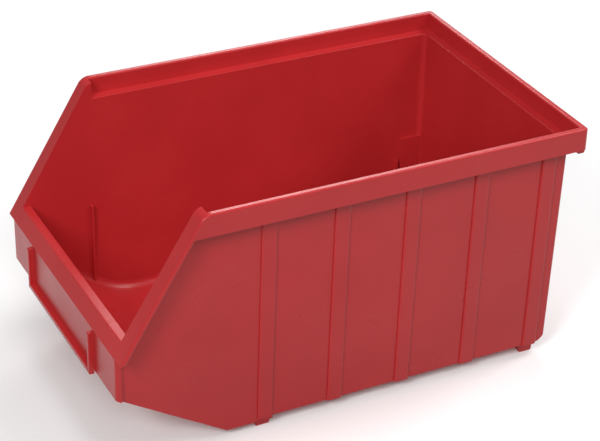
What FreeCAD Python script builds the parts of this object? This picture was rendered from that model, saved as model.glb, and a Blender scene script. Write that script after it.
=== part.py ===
import FreeCAD, Part
import math
import os
import Sketcher

# Stackable open-fronted storage bin, an injection moulding in polypropylene.
# X is the width, Y the length (the open picking front faces -Y), Z is up.
# The origin is at the middle of the bin's box, at the height of its feet.
# The moulding is divided into its working features, which meet face to face.

SIZES = {
    "overall_length": 248,
    "rim_width": 152,
    "overall_height": 132,
    "wall_thickness": 2,
    "draft_angle": 1,
    "rear_draft_angle": 0.5,
    "corner_radius": 1.5,
    "cavity_radius": 3,
    "corner_reach": 6,
    "rim_overhang": 6.9,
    "rear_overhang": 6.1,
    "rim_height": 11.6,
    "rim_thickness": 3.4,
    "rim_corner_radius": 2,
    "rim_rounding": 0.9,
    "ledge_thickness": 2.7,
    "ledge_rounding": 0.2,
    "recess_start": -77.5,
    "floor_height": 6.2,
    "toe_height": 4.4,
    "toe_end": -40,
    "ramp_foot": -64.4,
    "bend_radius": 45,
    "cove_radius": 4.2,
    "heel_reach": 3.8,
    "heel_rounding": 5,
    "panel_bottom": 40.2,
    "panel_thickness": 3,
    "panel_width": 138.6,
    "panel_rounding": 1.2,
    "lip_bottom": 62.8,
    "lip_top": 70,
    "lip_depth": 4.5,
    "lip_rounding": 0.6,
    "slope_top": -79.7,
    "slope_rounding": 7,
    "flange_thickness": 2.4,
    "rib_width": 8,
    "rib_pitch": 37.7,
    "rib_start": -48.5,
    "rib_thickness": 1.2,
    "rib_rounding": 1,
    "foot_face": 65,
    "foot_thickness": 4,
    "foot_top_length": 8.4,
    "foot_base_length": 6.6,
    "foot_rounding": 0.9,
    "holder_depth": 2.7,
    "holder_width": 84,
    "holder_rail": 2.2,
    "holder_sill": 2.6,
    "holder_bottom": 38.4,
    "holder_top": 61.4,
    "holder_rounding": 0.5,
    "guide_place": -81,
    "guide_width": 1.2,
    "guide_proud": 1.3,
    "guide_top": 63.1,
    "stop_place": 98.6,
    "stop_top": 49.6,
    "stop_width": 1.4,
    "stop_proud": 2,
    "corner_stop_front": 101.6,
    "corner_stop_top": 62.6,
    "corner_stop_proud": 1.2,
    "hook_depth": 3.6,
    "hook_drop": 3.2,
    "hook_width": 148,
    "hook_rounding": 1.4,
    "bead_depth": 1,
    "bead_height": 1.6,
    "bead_middle": 122.6,
    "bead_width": 146,
}

RIB_COUNT = 5
OUT = "200"
SIDES = {"left": -1, "right": 1}

# Places worked out from the driving sizes, as expressions on the sheet.
RIM_X = "(Sizes.rim_width / 2)"
RECESS_X = "(Sizes.rim_width / 2 - Sizes.rim_thickness)"
REAR_Y = "(Sizes.overall_length / 2 - Sizes.bead_depth)"
RECESS_Y = f"({REAR_Y} - Sizes.rim_thickness)"
FRONT_Y = "(Sizes.holder_depth - Sizes.overall_length / 2)"
HOLDER_Y = "(-Sizes.overall_length / 2)"
PANEL_BACK_Y = f"({FRONT_Y} + Sizes.panel_thickness)"
TOP_Z = "Sizes.overall_height"
RIM_Z = "(Sizes.overall_height - Sizes.rim_height)"
LEDGE_Z = f"({RIM_Z} + Sizes.ledge_thickness)"
FLOOR_Z = "(Sizes.floor_height + Sizes.wall_thickness)"
TAPER = "tan(Sizes.draft_angle)"
WALL_X = f"({RIM_X} - Sizes.rim_overhang)"
WALL_Y = f"({REAR_Y} - Sizes.rear_overhang)"
LEDGE_X = f"({WALL_X} - Sizes.wall_thickness)"
LEDGE_Y = f"({WALL_Y} - Sizes.wall_thickness)"
TUB_SHRINK = f"(({RIM_Z} - Sizes.toe_height) * {TAPER})"
REAR_SHRINK = f"(({RIM_Z} - Sizes.toe_height) * tan(Sizes.rear_draft_angle))"
CORNER_X = f"({WALL_X} - {TUB_SHRINK} - Sizes.corner_reach)"
CORNER_Y = f"({WALL_Y} - {REAR_SHRINK} - Sizes.corner_reach)"
COVE_X = f"({LEDGE_X} - {TUB_SHRINK} - Sizes.cove_radius)"
COVE_Y = f"({LEDGE_Y} - {REAR_SHRINK} - Sizes.cove_radius)"
HEEL_Y = f"({WALL_Y} - {REAR_SHRINK})"
SLOPE_RATE = f"((Sizes.slope_top - {FRONT_Y}) / (Sizes.overall_height - Sizes.lip_bottom))"
RAMP_RATE = f"((Sizes.panel_bottom - Sizes.toe_height) / (Sizes.ramp_foot - {FRONT_Y}))"
RAMP_RISE = f"(Sizes.wall_thickness * sqrt(1 + {RAMP_RATE} ^ 2))"
BEND_Y = f"(Sizes.ramp_foot - ({FLOOR_Z} - Sizes.toe_height - {RAMP_RISE}) / {RAMP_RATE})"
BEND_REACH = f"(Sizes.bend_radius * tan(atan({RAMP_RATE}) / 2))"
BEND_FRONT_Y = f"({BEND_Y} - {BEND_REACH} * cos(atan({RAMP_RATE})))"
BEND_REAR_Y = f"({BEND_Y} + {BEND_REACH})"


def slope_y(height):
    """Y of the sloping front frame at a height."""
    return f"({FRONT_Y} + ({height} - Sizes.lip_bottom) * {SLOPE_RATE})"


def ramp_z(place):
    """Height of the ramp's outer face at a Y."""
    return f"(Sizes.toe_height + (Sizes.ramp_foot - {place}) * {RAMP_RATE})"


def make_sheet(doc):
    """The spreadsheet that holds the driving sizes."""
    sheet = doc.addObject("Spreadsheet::Sheet", "Sizes")
    for row, (alias, value) in enumerate(SIZES.items(), start=1):
        sheet.set(f"A{row}", alias)
        sheet.set(f"B{row}", str(value))
        sheet.setAlias(f"B{row}", alias)
    doc.recompute()
    return sheet


def origin_plane(body, role):
    """One of a body's own origin planes."""
    return next(item for item in body.Origin.OriginFeatures if item.Role == role)


def add_outline(body, name, role, corners, offset=None):
    """A closed outline whose corners are bound to the sheet."""
    sketch = body.newObject("Sketcher::SketchObject", name)
    sketch.AttachmentSupport = (origin_plane(body, role), [""])
    sketch.MapMode = "FlatFace"
    if offset:
        sketch.setExpression("AttachmentOffset.Base.z", offset)
    count = len(corners)
    turn = 2 * math.pi / count
    start = [FreeCAD.Vector(10 * math.cos(i * turn), 10 * math.sin(i * turn), 0) for i in range(count)]
    for i in range(count):
        sketch.addGeometry(Part.LineSegment(start[i], start[(i + 1) % count]))
    for i in range(count):
        sketch.addConstraint(Sketcher.Constraint("Coincident", i, 2, (i + 1) % count, 1))
    for i, corner in enumerate(corners):
        for kind, label, place, expression in (
            ("DistanceX", "across", start[i].x, corner[0]),
            ("DistanceY", "up", start[i].y, corner[1]),
        ):
            index = sketch.addConstraint(Sketcher.Constraint(kind, -1, 1, i, 1, place))
            sketch.renameConstraint(index, f"{label}{i}")
            sketch.setExpression(f"Constraints.{label}{i}", expression)
    return sketch


def rectangle(low, high):
    """The corners of a rectangle from its lowest and highest corner."""
    return [(low[0], low[1]), (high[0], low[1]), (high[0], high[1]), (low[0], high[1])]


def add_pad(body, sketch, length):
    """A pad along the sketch's normal."""
    pad = body.newObject("PartDesign::Pad", f"{sketch.Name}Pad")
    pad.Profile = sketch
    pad.setExpression("Length", length)
    return pad


def add_pocket(body, sketch, length):
    """A pocket against the sketch's normal."""
    pocket = body.newObject("PartDesign::Pocket", f"{sketch.Name}Pocket")
    pocket.Profile = sketch
    pocket.setExpression("Length", length)
    return pocket


def edge_names(feature, test):
    """Names of the edges whose middle point passes a test."""
    feature.Document.recompute()
    names = []
    for number, edge in enumerate(feature.Shape.Edges, start=1):
        first, last = edge.ParameterRange
        middle = edge.valueAt((first + last) / 2)
        if test(middle, edge):
            names.append(f"Edge{number}")
    if not names:
        raise ValueError(f"no edge found on {feature.Name}")
    return names


def add_fillet(body, feature, radius, test):
    """A fillet on the edges that pass a test."""
    names = edge_names(feature, test)
    fillet = body.newObject("PartDesign::Fillet", f"{feature.Name}Fillet")
    fillet.Base = (feature, names)
    fillet.setExpression("Radius", radius)
    return fillet


def add_box(doc, name, low, high):
    """A box between two corners that are bound to the sheet."""
    box = doc.addObject("Part::Box", name)
    for axis, size, start, end in zip("xyz", ("Length", "Width", "Height"), low, high):
        box.setExpression(size, f"{end} - {start}")
        box.setExpression(f"Placement.Base.{axis}", start)
    return box


def add_common(doc, name, base, tool):
    """What two solids share."""
    common = doc.addObject("Part::Common", name)
    common.Base = base
    common.Tool = tool
    return common


def add_cut(doc, name, base, tool):
    """One solid less another."""
    cut = doc.addObject("Part::Cut", name)
    cut.Base = base
    cut.Tool = tool
    return cut


def side_range(side, near, far):
    """The X range between two distances from the middle, on one side."""
    return (near, far) if side > 0 else (f"-({far})", f"-({near})")


def add_slice(doc, name, blank, across, along, upward):
    """The share of a blank that lies in a range of X, Y and Z, as a sub-part."""
    low, high = zip(across, along, upward)
    box = add_box(doc, f"{name}_range", low, high)
    return add_common(doc, name, blank, box)


def is_upright(edge):
    """Whether an edge is straight and nearly vertical."""
    first, last = (vertex.Point for vertex in edge.Vertexes)
    return abs(first.z - last.z) > 5 * math.hypot(first.x - last.x, first.y - last.y)


def add_tapered_block(doc, name, half_width, rear, radius):
    """A block that widens upward by the draft to the rim, with round rear corners."""
    body = doc.addObject("PartDesign::Body", name)
    wedge = body.newObject("PartDesign::AdditiveWedge", f"{name}Wedge")
    spans = {
        "Ymin": "Sizes.toe_height",
        "Ymax": RIM_Z,
        "Xmin": f"-({half_width} - {TUB_SHRINK})",
        "Xmax": f"({half_width} - {TUB_SHRINK})",
        "X2min": f"-{half_width}",
        "X2max": half_width,
        "Zmin": f"-({rear} - {REAR_SHRINK})",
        "Zmax": OUT,
        "Z2min": f"-{rear}",
        "Z2max": OUT,
    }
    for span, expression in spans.items():
        wedge.setExpression(span, expression)
    wedge.Placement.Rotation = FreeCAD.Rotation(FreeCAD.Vector(1, 0, 0), 90)
    add_fillet(body, wedge, radius, lambda middle, edge: middle.y > 0 and is_upright(edge))
    return body


def add_tub_blanks(doc):
    """The tub's outside, its cavity and what lies between them."""
    outside = add_tapered_block(doc, "TubOutside", WALL_X, WALL_Y, "Sizes.corner_radius")
    inner = add_tapered_block(doc, "TubInside", LEDGE_X, LEDGE_Y, "Sizes.cavity_radius")
    cavity = add_tapered_block(doc, "Cavity", LEDGE_X, LEDGE_Y, "Sizes.cavity_radius")
    shape_cavity(cavity)
    profile = add_side_profile(doc)
    trimmed = add_common(doc, "TubTrimmed", outside, profile)
    walls = add_cut(doc, "TubWalls", trimmed, inner)
    solid_bottom = add_common(doc, "TubSolidBottom", trimmed, inner)
    bottom = add_cut(doc, "TubBottom", solid_bottom, cavity)
    return outside, inner, cavity, walls, bottom


def shape_cavity(cavity):
    """Gives the cavity its floor, its ramp, the bend between them and the coves."""
    corners = [
        (f"-{OUT}", f"-{OUT}"),
        (OUT, f"-{OUT}"),
        (OUT, FLOOR_Z),
        (BEND_Y, FLOOR_Z),
        (PANEL_BACK_Y, f"({ramp_z(PANEL_BACK_Y)} + {RAMP_RISE})"),
        (PANEL_BACK_Y, OUT),
        (f"-{OUT}", OUT),
    ]
    sketch = add_outline(cavity, "CavityBelow", "YZ_Plane", corners, OUT)
    pocket = add_pocket(cavity, sketch, f"2 * {OUT}")
    ramp_foot = SIZES["ramp_foot"]
    floor_z = SIZES["floor_height"] + SIZES["wall_thickness"]
    bend = add_fillet(
        cavity,
        pocket,
        "Sizes.bend_radius",
        lambda middle, edge: abs(middle.x) < 1 and abs(middle.z - floor_z) < 0.1 and middle.y < ramp_foot + 5,
    )
    panel_back = SIZES["holder_depth"] - SIZES["overall_length"] / 2 + SIZES["panel_thickness"]

    def is_low(middle, edge):
        ends = [vertex.Point for vertex in edge.Vertexes]
        runs_along = max(end.y for end in ends) - min(end.y for end in ends) > 1
        ramp_height = floor_z + max(0, ramp_foot - middle.y) * 0.75 + 1.5
        on_rear = middle.y > 0
        return middle.z < ramp_height and middle.y > panel_back + 0.5 and (runs_along or on_rear)

    add_fillet(cavity, bend, "Sizes.cove_radius", is_low)


def add_side_profile(doc):
    """The bin's side view below the rim, as a thick plate across the bin."""
    body = doc.addObject("PartDesign::Body", "SideProfile")
    corners = [
        ("Sizes.ramp_foot", "Sizes.toe_height"),
        ("Sizes.toe_end", "Sizes.toe_height"),
        ("Sizes.toe_end", "Sizes.floor_height"),
        (f"({HEEL_Y} - Sizes.heel_reach)", "Sizes.floor_height"),
        (HEEL_Y, "(Sizes.floor_height + Sizes.heel_reach)"),
        (OUT, "(Sizes.floor_height + Sizes.heel_reach)"),
        (OUT, RIM_Z),
        (slope_y(RIM_Z), RIM_Z),
        (FRONT_Y, "Sizes.lip_bottom"),
        (PANEL_BACK_Y, "Sizes.lip_bottom"),
        (PANEL_BACK_Y, ramp_z(PANEL_BACK_Y)),
    ]
    sketch = add_outline(body, "SideOutline", "YZ_Plane", corners, f"-{OUT}")
    pad = add_pad(body, sketch, f"2 * {OUT}")
    floor_z = SIZES["floor_height"]

    def is_heel(middle, edge):
        return abs(middle.x) < 0.01 and abs(middle.z - floor_z) < 0.01 and middle.y > 0

    add_fillet(body, pad, "Sizes.heel_rounding", is_heel)
    return body


def add_walls(doc, walls):
    """The side walls, the rear wall and the rounded rear corners."""
    parts = []
    upward = ("0", RIM_Z)
    for side, sign in SIDES.items():
        across = side_range(sign, "Sizes.rim_width / 4", RIM_X)
        parts.append(add_slice(doc, f"{side}_wall", walls, across, (f"-{OUT}", CORNER_Y), upward))
        across = side_range(sign, CORNER_X, RIM_X)
        parts.append(add_slice(doc, f"rear_{side}_corner", walls, across, (CORNER_Y, REAR_Y), upward))
    across = (f"-{CORNER_X}", CORNER_X)
    parts.append(add_slice(doc, "rear_wall", walls, across, (CORNER_Y, REAR_Y), upward))
    return parts


def add_bottom(doc, bottom):
    """The floor, the ramp, their rounded edges and the stacking toe."""
    middle = (f"-{COVE_X}", COVE_X)
    on_floor = ("Sizes.floor_height", RIM_Z)
    on_ramp = ("Sizes.toe_height", "Sizes.lip_bottom")
    ramp_run = (FRONT_Y, "Sizes.ramp_foot")
    parts = [
        add_slice(doc, "floor_plate", bottom, middle, (BEND_REAR_Y, COVE_Y), on_floor),
        add_slice(doc, "floor_bend", bottom, middle, ("Sizes.ramp_foot", BEND_REAR_Y), on_floor),
        add_slice(doc, "ramp_bend", bottom, middle, (BEND_FRONT_Y, "Sizes.ramp_foot"), on_ramp),
        add_slice(doc, "front_ramp", bottom, middle, (FRONT_Y, BEND_FRONT_Y), on_ramp),
        add_slice(doc, "rear_floor_edge", bottom, middle, (COVE_Y, REAR_Y), on_floor),
        add_slice(
            doc,
            "stacking_toe",
            bottom,
            (f"-{RIM_X}", RIM_X),
            ("Sizes.ramp_foot", "Sizes.toe_end"),
            ("Sizes.toe_height", "Sizes.floor_height"),
        ),
    ]
    for side, sign in SIDES.items():
        across = side_range(sign, COVE_X, RIM_X)
        along = ("Sizes.ramp_foot", REAR_Y)
        parts.append(add_slice(doc, f"{side}_floor_edge", bottom, across, along, on_floor))
        parts.append(add_slice(doc, f"{side}_ramp_edge", bottom, across, ramp_run, on_ramp))
    return parts


def add_front(doc, inner):
    """The front panel and the lip above it."""
    panel = doc.addObject("PartDesign::Body", "front_panel")
    corners = [
        (FRONT_Y, "Sizes.panel_bottom"),
        (PANEL_BACK_Y, ramp_z(PANEL_BACK_Y)),
        (PANEL_BACK_Y, "Sizes.lip_bottom"),
        (FRONT_Y, "Sizes.lip_bottom"),
    ]
    sketch = add_outline(panel, "PanelOutline", "YZ_Plane", corners, "-Sizes.panel_width / 2")
    pad = add_pad(panel, sketch, "Sizes.panel_width")
    front = SIZES["holder_depth"] - SIZES["overall_length"] / 2
    add_fillet(
        panel,
        pad,
        "Sizes.panel_rounding",
        lambda middle, edge: abs(middle.y - front) < 0.01 and is_upright(edge),
    )
    bar = doc.addObject("PartDesign::Body", "LipBar")
    lip_back = f"({slope_y('Sizes.lip_top')} + Sizes.lip_depth)"
    corners = [
        (FRONT_Y, "Sizes.lip_bottom"),
        (PANEL_BACK_Y, "Sizes.lip_bottom"),
        (lip_back, "Sizes.lip_top - Sizes.wall_thickness"),
        (lip_back, "Sizes.lip_top"),
        (slope_y("Sizes.lip_top"), "Sizes.lip_top"),
    ]
    sketch = add_outline(bar, "LipOutline", "YZ_Plane", corners, f"-{OUT}")
    pad = add_pad(bar, sketch, f"2 * {OUT}")
    add_fillet(
        bar,
        pad,
        "Sizes.lip_rounding",
        lambda middle, edge: abs(middle.z - SIZES["lip_top"]) < 0.01 and abs(middle.x) < 1,
    )
    return [panel, add_common(doc, "front_lip", bar, inner)]


def add_flanges(doc, outside):
    """The flanges that stiffen the two sloping edges of the opening."""
    depth = f"(Sizes.flange_thickness * sqrt(1 + {SLOPE_RATE} ^ 2))"
    corners = [
        (FRONT_Y, "Sizes.lip_bottom"),
        (f"({FRONT_Y} + {depth})", "Sizes.lip_bottom"),
        (f"({slope_y(RIM_Z)} + {depth})", RIM_Z),
        (slope_y(RIM_Z), RIM_Z),
    ]
    rim_x = SIZES["rim_width"] / 2
    rim_z = SIZES["overall_height"] - SIZES["rim_height"]
    parts = []
    for side, sign in SIDES.items():
        bar = doc.addObject("PartDesign::Body", f"{side}_flange_bar")
        start = side_range(sign, "Sizes.rim_width / 4", RIM_X)[0]
        sketch = add_outline(bar, f"{side}_flange_outline", "YZ_Plane", corners, start)
        pad = add_pad(bar, sketch, "Sizes.rim_width / 4")
        add_fillet(
            bar,
            pad,
            "Sizes.rim_rounding",
            lambda middle, edge: abs(abs(middle.x) - rim_x) < 0.01 and middle.z < rim_z - 0.1,
        )
        parts.append(add_cut(doc, f"{side}_front_flange", bar, outside))
    return parts


def add_rim_blank(doc):
    """The stacking rim in one piece, with the recess that the next bin sits in."""
    body = doc.addObject("PartDesign::Body", "RimBlank")
    corners = rectangle((f"-{RIM_X}", FRONT_Y), (RIM_X, REAR_Y))
    block = add_pad(body, add_outline(body, "RimOutline", "XY_Plane", corners, RIM_Z), "Sizes.rim_height")
    add_fillet(
        body,
        block,
        "Sizes.rim_corner_radius",
        lambda middle, edge: middle.y > 0 and is_upright(edge),
    )
    corners = rectangle((f"-{LEDGE_X}", f"-{OUT}"), (LEDGE_X, LEDGE_Y))
    opening = add_pocket(body, add_outline(body, "OpeningOutline", "XY_Plane", corners, TOP_Z), "Sizes.rim_height")
    ledge_y = SIZES["overall_length"] / 2 - SIZES["bead_depth"] - SIZES["rear_overhang"] - SIZES["wall_thickness"]
    add_fillet(
        body,
        opening,
        "Sizes.cavity_radius",
        lambda middle, edge: abs(middle.y - ledge_y) < 0.01 and is_upright(edge),
    )
    corners = rectangle((f"-{RECESS_X}", "Sizes.recess_start"), (RECESS_X, RECESS_Y))
    recess_outline = add_outline(body, "RecessOutline", "XY_Plane", corners, TOP_Z)
    add_pocket(body, recess_outline, f"{TOP_Z} - {LEDGE_Z}")
    corners = [
        (f"-{OUT}", RIM_Z + " - 1"),
        (slope_y(f"({RIM_Z} - 1)"), RIM_Z + " - 1"),
        (slope_y(f"({TOP_Z} + 1)"), TOP_Z + " + 1"),
        (f"-{OUT}", TOP_Z + " + 1"),
    ]
    slope = add_pocket(body, add_outline(body, "SlopeOutline", "YZ_Plane", corners, OUT), f"2 * {OUT}")
    top = SIZES["overall_height"]
    shoulder = add_fillet(
        body,
        slope,
        "Sizes.slope_rounding",
        lambda middle, edge: abs(middle.y - SIZES["slope_top"]) < 0.1 and abs(middle.z - top) < 0.01,
    )
    soften_rim(body, shoulder)
    return body


def soften_rim(body, shoulder):
    """Rounds the rim's upper edges and the ledge's inner edge."""
    rim_x = SIZES["rim_width"] / 2
    rear = SIZES["overall_length"] / 2 - SIZES["bead_depth"]
    top = SIZES["overall_height"]
    bottom = top - SIZES["rim_height"]
    recess_y = rear - SIZES["rim_thickness"]
    recess_x = rim_x - SIZES["rim_thickness"]
    side_inset = SIZES["rim_overhang"] + SIZES["wall_thickness"]
    rear_inset = SIZES["rear_overhang"] + SIZES["wall_thickness"]
    ledge_z = bottom + SIZES["ledge_thickness"]

    def is_outer(middle):
        return abs(middle.x) > rim_x - 1.5 or middle.y > rear - 1.5

    def is_recess_top(middle):
        on_side = abs(abs(middle.x) - recess_x) < 0.1 or abs(middle.y - recess_y) < 0.1
        return on_side and middle.z > ledge_z + 1

    def is_upper(middle, edge):
        flat = not is_upright(edge)
        if not flat or middle.z < bottom + 0.5:
            return False
        return is_outer(middle) or is_recess_top(middle)

    def is_ledge_edge(middle, edge):
        within = abs(middle.x) < rim_x - side_inset + 0.1 and middle.y < rear - rear_inset + 0.1
        return within and abs(middle.z - ledge_z) < 0.01 and middle.y > SIZES["recess_start"] + 1

    upper = add_fillet(body, shoulder, "Sizes.rim_rounding", is_upper)
    add_fillet(body, upper, "Sizes.ledge_rounding", is_ledge_edge)


def add_rim(doc):
    """The rim's ledges, upright bands and front ends."""
    blank = add_rim_blank(doc)
    ledge = (RIM_Z, LEDGE_Z)
    band = (RIM_Z, TOP_Z)
    corner_y = f"({LEDGE_Y} - Sizes.cavity_radius)"
    parts = []
    for side, sign in SIDES.items():
        across = side_range(sign, "Sizes.rim_width / 4", RECESS_X)
        parts.append(add_slice(doc, f"{side}_ledge", blank, across, ("Sizes.recess_start", corner_y), ledge))
        across = side_range(sign, RECESS_X, RIM_X)
        parts.append(add_slice(doc, f"{side}_rim", blank, across, ("Sizes.recess_start", RECESS_Y), band))
        across = side_range(sign, "Sizes.rim_width / 4", RIM_X)
        parts.append(add_slice(doc, f"{side}_rim_end", blank, across, (FRONT_Y, "Sizes.recess_start"), band))
    across = (f"-{RECESS_X}", RECESS_X)
    parts.append(add_slice(doc, "rear_ledge", blank, across, (corner_y, RECESS_Y), ledge))
    across = (f"-{RIM_X}", RIM_X)
    parts.append(add_slice(doc, "rear_rim", blank, across, (RECESS_Y, REAR_Y), band))
    return parts


def add_rounded_bar(doc, name, low, high, radius, test):
    """A straight bar between two corners, with some of its edges rounded."""
    body = doc.addObject("PartDesign::Body", name)
    corners = rectangle((low[1], low[2]), (high[1], high[2]))
    sketch = add_outline(body, f"{name}_outline", "YZ_Plane", corners, low[0])
    pad = add_pad(body, sketch, f"{high[0]} - {low[0]}")
    add_fillet(body, pad, radius, test)
    return body


def add_rear_edge(doc):
    """The hanging hook under the rear rim and the bead on its face."""
    rear = SIZES["overall_length"] / 2 - SIZES["bead_depth"]
    hook_low = SIZES["overall_height"] - SIZES["rim_height"] - SIZES["hook_drop"]
    hook = add_rounded_bar(
        doc,
        "rear_hook",
        ("-(Sizes.hook_width / 2)", f"({REAR_Y} - Sizes.hook_depth)", f"({RIM_Z} - Sizes.hook_drop)"),
        ("(Sizes.hook_width / 2)", REAR_Y, RIM_Z),
        "Sizes.hook_rounding",
        lambda middle, edge: abs(middle.z - hook_low) < 0.01,
    )
    bead = add_rounded_bar(
        doc,
        "rear_bead",
        ("-(Sizes.bead_width / 2)", REAR_Y, "(Sizes.bead_middle - Sizes.bead_height / 2)"),
        ("(Sizes.bead_width / 2)", f"({REAR_Y} + Sizes.bead_depth)", "(Sizes.bead_middle + Sizes.bead_height / 2)"),
        "Sizes.bead_height * 0.45",
        lambda middle, edge: abs(middle.y - rear - SIZES["bead_depth"]) < 0.01 and abs(middle.x) < 1,
    )
    return [hook, bead]


def add_ribs(doc):
    """The stiffening ribs on the side walls, which lean with the walls' draft."""
    parts = []
    foot_x = f"({WALL_X} - ({RIM_Z} - Sizes.floor_height) * {TAPER})"
    for side, sign in SIDES.items():
        corners = [
            (f"{sign} * {WALL_X}", RIM_Z),
            (f"{sign} * {foot_x}", "Sizes.floor_height"),
            (f"{sign} * ({foot_x} + Sizes.rib_thickness)", "Sizes.floor_height"),
            (f"{sign} * ({WALL_X} + Sizes.rib_thickness)", RIM_Z),
        ]
        for number in range(RIB_COUNT):
            rib = doc.addObject("PartDesign::Body", f"{side}_rib_{number + 1}")
            end = f"(Sizes.rib_start + {number} * Sizes.rib_pitch + Sizes.rib_width)"
            sketch = add_outline(rib, f"{rib.Name}_outline", "XZ_Plane", corners, f"-{end}")
            pad = add_pad(rib, sketch, "Sizes.rib_width")
            add_fillet(rib, pad, "Sizes.rib_rounding", is_rib_edge)
            parts.append(rib)
    return parts


def is_rib_edge(middle, edge):
    """Whether an edge of a rib is an upright one on its outer face; its ends stay square to stack on."""
    rim_bottom = SIZES["overall_height"] - SIZES["rim_height"]
    wall_x = SIZES["rim_width"] / 2 - SIZES["rim_overhang"]
    wall_x -= (rim_bottom - middle.z) * math.tan(math.radians(SIZES["draft_angle"]))
    is_outer = abs(middle.x) > wall_x + 0.9 * SIZES["rib_thickness"]
    return is_outer and SIZES["floor_height"] + 1 < middle.z < rim_bottom - 1


def add_feet(doc):
    """The stacking feet under the first and the last rib of each side."""
    parts = []
    ends = {"front": (0, "Sizes.toe_height"), "rear": (RIB_COUNT - 1, "Sizes.floor_height")}
    for side, sign in SIDES.items():
        for end, (rib, top) in ends.items():
            foot = doc.addObject("PartDesign::Body", f"{side}_{end}_foot")
            middle_y = f"(Sizes.rib_start + {rib} * Sizes.rib_pitch + Sizes.rib_width / 2)"
            corners = [
                (f"({middle_y} - Sizes.foot_base_length / 2)", "0"),
                (f"({middle_y} + Sizes.foot_base_length / 2)", "0"),
                (f"({middle_y} + Sizes.foot_top_length / 2)", top),
                (f"({middle_y} - Sizes.foot_top_length / 2)", top),
            ]
            start = side_range(sign, "(Sizes.foot_face - Sizes.foot_thickness)", "Sizes.foot_face")[0]
            sketch = add_outline(foot, f"{foot.Name}_outline", "YZ_Plane", corners, start)
            pad = add_pad(foot, sketch, "Sizes.foot_thickness")
            add_fillet(foot, pad, "Sizes.foot_rounding", lambda middle, edge: middle.z < 0.01)
            parts.append(foot)
    return parts


def add_label_holder(doc):
    """The three rails that hold a label on the front panel."""
    outer = "(Sizes.holder_width / 2)"
    inner = "(Sizes.holder_width / 2 - Sizes.holder_rail)"
    front = -SIZES["overall_length"] / 2
    parts = []

    def is_front(middle, edge):
        return abs(middle.y - front) < 0.01

    for side, sign in SIDES.items():
        across = side_range(sign, inner, outer)
        low = (across[0], HOLDER_Y, "Sizes.holder_bottom")
        high = (across[1], FRONT_Y, "Sizes.holder_top")
        name = f"{side}_label_rail"
        parts.append(add_rounded_bar(doc, name, low, high, "Sizes.holder_rounding", is_front))
    low = (f"-{inner}", HOLDER_Y, "Sizes.holder_bottom")
    high = (inner, FRONT_Y, "(Sizes.holder_bottom + Sizes.holder_sill)")
    parts.append(
        add_rounded_bar(
            doc,
            "bottom_label_rail",
            low,
            high,
            "Sizes.holder_rounding",
            lambda middle, edge: is_front(middle, edge) and abs(middle.x) < 1,
        )
    )
    return parts


def add_guides(doc, cavity):
    """The slim ribs and corner steps inside the bin that locate a divider."""
    parts = []
    for side, sign in SIDES.items():
        def bar(name, place, width, proud, top):
            low_x, high_x = side_range(sign, f"({LEDGE_X} - {TUB_SHRINK} - {proud})", RIM_X)
            low = (low_x, place, "Sizes.toe_height")
            high = (high_x, f"({place} + {width})", top)
            return add_box(doc, name, low, high)

        slim = bar(
            f"{side}_guide_bar",
            "Sizes.guide_place",
            "Sizes.guide_width",
            "Sizes.guide_proud",
            "Sizes.guide_top",
        )
        parts.append(add_common(doc, f"{side}_front_guide", slim, cavity))
        stop = bar(
            f"{side}_stop_bar",
            "Sizes.stop_place",
            "Sizes.stop_width",
            "Sizes.stop_proud",
            "Sizes.stop_top",
        )
        parts.append(add_common(doc, f"{side}_rear_guide", stop, cavity))
        step = bar(
            f"{side}_corner_bar",
            "Sizes.corner_stop_front",
            "50",
            "Sizes.corner_stop_proud",
            "Sizes.corner_stop_top",
        )
        parts.append(add_common(doc, f"rear_{side}_corner_step", step, cavity))
    return parts


def check_document(doc, parts):
    """Stops if an object failed or a sub-part is empty or invalid."""
    failed = [item.Name for item in doc.Objects if "Invalid" in item.State or "Error" in item.State]
    if failed:
        raise RuntimeError(f"failed objects: {failed}")
    for part in parts:
        if part.Shape.isNull() or not part.Shape.isValid() or not part.Shape.Solids:
            raise RuntimeError(f"{part.Label} has no valid solid")


def main():
    doc = FreeCAD.newDocument("storage_bin")
    make_sheet(doc)
    outside, inner, cavity, walls, bottom = add_tub_blanks(doc)
    parts = add_walls(doc, walls)
    parts += add_bottom(doc, bottom)
    parts += add_front(doc, inner)
    parts += add_flanges(doc, outside)
    parts += add_rim(doc)
    parts += add_rear_edge(doc)
    parts += add_ribs(doc)
    parts += add_feet(doc)
    parts += add_label_holder(doc)
    parts += add_guides(doc, cavity)
    doc.recompute()
    check_document(doc, parts)
    os.makedirs("parts", exist_ok=True)
    for part in parts:
        part.Shape.exportStep(f"parts/{part.Label}.step")
        print(part.Label, len(part.Shape.Solids), round(part.Shape.Volume))


main()
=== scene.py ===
import math

import bpy
from mathutils import Matrix, Vector

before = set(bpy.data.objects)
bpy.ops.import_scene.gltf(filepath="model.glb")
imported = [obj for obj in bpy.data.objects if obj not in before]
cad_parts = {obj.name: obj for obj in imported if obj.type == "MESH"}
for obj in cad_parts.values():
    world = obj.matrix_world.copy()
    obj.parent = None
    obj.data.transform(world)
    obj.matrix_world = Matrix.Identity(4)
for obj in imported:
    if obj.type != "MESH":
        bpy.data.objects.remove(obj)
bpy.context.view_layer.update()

# The camera. Angles are in degrees, lengths in metres, and the lens and sensor in millimetres.
# Azimuth 0 is in front of the bin, on the -Y side, and 90 is on the +X side.
AZIMUTH = 62.567
ELEVATION = 30.478
ROLL = 1.595
DISTANCE = 0.9427
TARGET = Vector((0, 0.0025, 0.062))
OFFSET = (0.00396, 0.00607)
LENS = 111.744
SENSOR = 36
CLIP = (0.01, 100)

# The even light from all round.
WORLD_STRENGTH = 0.26

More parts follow.
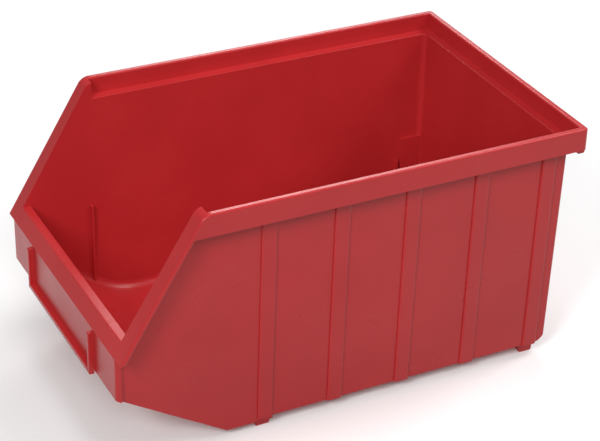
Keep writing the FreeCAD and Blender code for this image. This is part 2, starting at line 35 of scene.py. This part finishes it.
# Softboxes: name, azimuth and elevation in degrees, power in watts. Their lengths are in metres.
LIGHT_DISTANCE = 1.6
LIGHT_SIZE = 0.45
LIGHTS = (
    ("key", 36, 37, 11.5),
    ("side", 68, 35, 6.8),
    ("rear_side", 135, 42, 4.4),
    ("rear", 180, 50, 8),
    ("overhead", 0, 89, 4),
    ("back", 243, 33, 5),
)

# The red plastic. The cloud noise mixes the two reds, the gloss noise moves the roughness between
# its two ends, and the grain is a fine bump. REFRACTION is below real polypropylene's 1.49, and was
# chosen for the side wall's colour. A RANGE is the part of a noise that is stretched.
RED = (0.5, 0.025, 0.028, 1)
RED_DEEP = (0.45, 0.02, 0.023, 1)
CLOUD_SCALE = 18
CLOUD_DETAIL = 3
CLOUD_RANGE = (0.35, 0.65)
GLOSS_SCALE = 40
GLOSS_DETAIL = 2
GLOSS_RANGE = (0.3, 0.7)
ROUGHNESS = (0.27, 0.33)
REFRACTION = 1.4
GRAIN_SCALE = 420
GRAIN_DETAIL = 1
GRAIN_STRENGTH = 0.04
GRAIN_DEPTH = 0.0001

# The floor. It reaches this many metres each way from the middle.
FLOOR_REACH = 6
FLOOR_PALE = (0.92, 0.92, 0.92, 1)
FLOOR_PALER = (0.94, 0.94, 0.94, 1)
FLOOR_SCALE = 3
FLOOR_DETAIL = 2
FLOOR_RANGE = (0.3, 0.7)
FLOOR_ROUGHNESS = 0.9

# The sockets of Blender's Mix node that carry colours: two inputs and an output.
MIX_FIRST = 6
MIX_SECOND = 7
MIX_RESULT = 2


def direction(azimuth, elevation):
    """Unit vector from the bin towards a place round it."""
    a, e = math.radians(azimuth), math.radians(elevation)
    return Vector((math.sin(a) * math.cos(e), -math.cos(a) * math.cos(e), math.sin(e)))


def add_camera():
    """The camera at the picture's angle."""
    back = direction(AZIMUTH, ELEVATION)
    level = (-back).cross(Vector((0, 0, 1))).normalized()
    above = level.cross(-back)
    roll = math.radians(ROLL)
    right = level * math.cos(roll) + above * math.sin(roll)
    up = above * math.cos(roll) - level * math.sin(roll)
    data = bpy.data.cameras.new("camera")
    data.lens = LENS
    data.sensor_width = SENSOR
    data.clip_start, data.clip_end = CLIP
    camera = bpy.data.objects.new("camera", data)
    camera.matrix_world = Matrix((right, up, back)).transposed().to_4x4()
    camera.location = TARGET + back * DISTANCE + right * OFFSET[0] + up * OFFSET[1]
    bpy.context.scene.collection.objects.link(camera)
    bpy.context.scene.camera = camera


def add_light(name, azimuth, elevation, power):
    """A square softbox that faces the bin."""
    data = bpy.data.lights.new(name, "AREA")
    data.energy = power
    data.size = LIGHT_SIZE
    light = bpy.data.objects.new(name, data)
    towards = direction(azimuth, elevation)
    light.location = TARGET + towards * LIGHT_DISTANCE
    light.rotation_mode = "QUATERNION"
    light.rotation_quaternion = towards.to_track_quat("Z", "Y")
    bpy.context.scene.collection.objects.link(light)


def add_world(strength):
    """An even white surrounding light."""
    world = bpy.data.worlds.new("studio")
    world.use_nodes = True
    background = world.node_tree.nodes["Background"]
    background.inputs["Color"].default_value = (1, 1, 1, 1)
    background.inputs["Strength"].default_value = strength
    bpy.context.scene.world = world


class Nodes:
    """Short calls that build one material's nodes."""

    def __init__(self, name):
        self.material = bpy.data.materials.new(name)
        self.material.use_nodes = True
        self.tree = self.material.node_tree
        self.shader = self.tree.nodes["Principled BSDF"]

    def add(self, kind, values=None, **settings):
        """A new node with its inputs and settings."""
        node = self.tree.nodes.new(kind)
        for key, value in settings.items():
            setattr(node, key, value)
        for key, value in (values or {}).items():
            self.put(node.inputs[key], value)
        return node

    def put(self, socket, value):
        """Links or sets one input."""
        if isinstance(value, bpy.types.NodeSocket):
            self.tree.links.new(value, socket)
        else:
            socket.default_value = value

    def noise(self, vector, scale, detail):
        """The grey value of Blender's noise texture."""
        node = self.add("ShaderNodeTexNoise", {"Vector": vector, "Scale": scale, "Detail": detail})
        return node.outputs["Fac"]

    def spread(self, value, low, high, start, end):
        """A value stretched from low and high to start and end, which are inputs 1 to 4."""
        node = self.add("ShaderNodeMapRange", {0: value, 1: low, 2: high, 3: start, 4: end})
        return node.outputs[0]

    def blend(self, share, first, second):
        """A mix of two colours."""
        node = self.add("ShaderNodeMix", data_type="RGBA")
        self.put(node.inputs["Factor"], share)
        self.put(node.inputs[MIX_FIRST], first)
        self.put(node.inputs[MIX_SECOND], second)
        return node.outputs[MIX_RESULT]


def polypropylene(name):
    """Moulded polypropylene, dyed red through."""
    n = Nodes(name)
    place = n.add("ShaderNodeTexCoord").outputs["Object"]
    cloud = n.noise(place, CLOUD_SCALE, CLOUD_DETAIL)
    colour = n.blend(n.spread(cloud, *CLOUD_RANGE, 0, 1), RED, RED_DEEP)
    n.put(n.shader.inputs["Base Color"], colour)
    gloss = n.noise(place, GLOSS_SCALE, GLOSS_DETAIL)
    n.put(n.shader.inputs["Roughness"], n.spread(gloss, *GLOSS_RANGE, *ROUGHNESS))
    n.put(n.shader.inputs["IOR"], REFRACTION)
    grain = n.noise(place, GRAIN_SCALE, GRAIN_DETAIL)
    depth = {"Strength": GRAIN_STRENGTH, "Distance": GRAIN_DEPTH, "Height": grain}
    bump = n.add("ShaderNodeBump", depth)
    n.put(n.shader.inputs["Normal"], bump.outputs["Normal"])
    return n.material


def add_floor():
    """A pale floor. The bin's gloss shows it, but it bounces no diffuse light on to the bin."""
    turns = ((-1, -1), (1, -1), (1, 1), (-1, 1))
    corners = [(x * FLOOR_REACH, y * FLOOR_REACH, 0) for x, y in turns]
    mesh = bpy.data.meshes.new("floor")
    mesh.from_pydata(corners, [], [(0, 1, 2, 3)])
    floor = bpy.data.objects.new("floor", mesh)
    bpy.context.scene.collection.objects.link(floor)
    n = Nodes("pale_floor")
    place = n.add("ShaderNodeTexCoord").outputs["Object"]
    patches = n.noise(place, FLOOR_SCALE, FLOOR_DETAIL)
    shade = n.spread(patches, *FLOOR_RANGE, 0, 1)
    n.put(n.shader.inputs["Base Color"], n.blend(shade, FLOOR_PALE, FLOOR_PALER))
    n.put(n.shader.inputs["Roughness"], FLOOR_ROUGHNESS)
    mesh.materials.append(n.material)
    floor.visible_diffuse = False


plastic = polypropylene("red_polypropylene")
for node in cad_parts.values():
    node.data.materials.clear()
    node.data.materials.append(plastic)

add_floor()
add_camera()
add_world(WORLD_STRENGTH)
for light in LIGHTS:
    add_light(*light)
bpy.context.scene.view_settings.view_transform = "Standard"
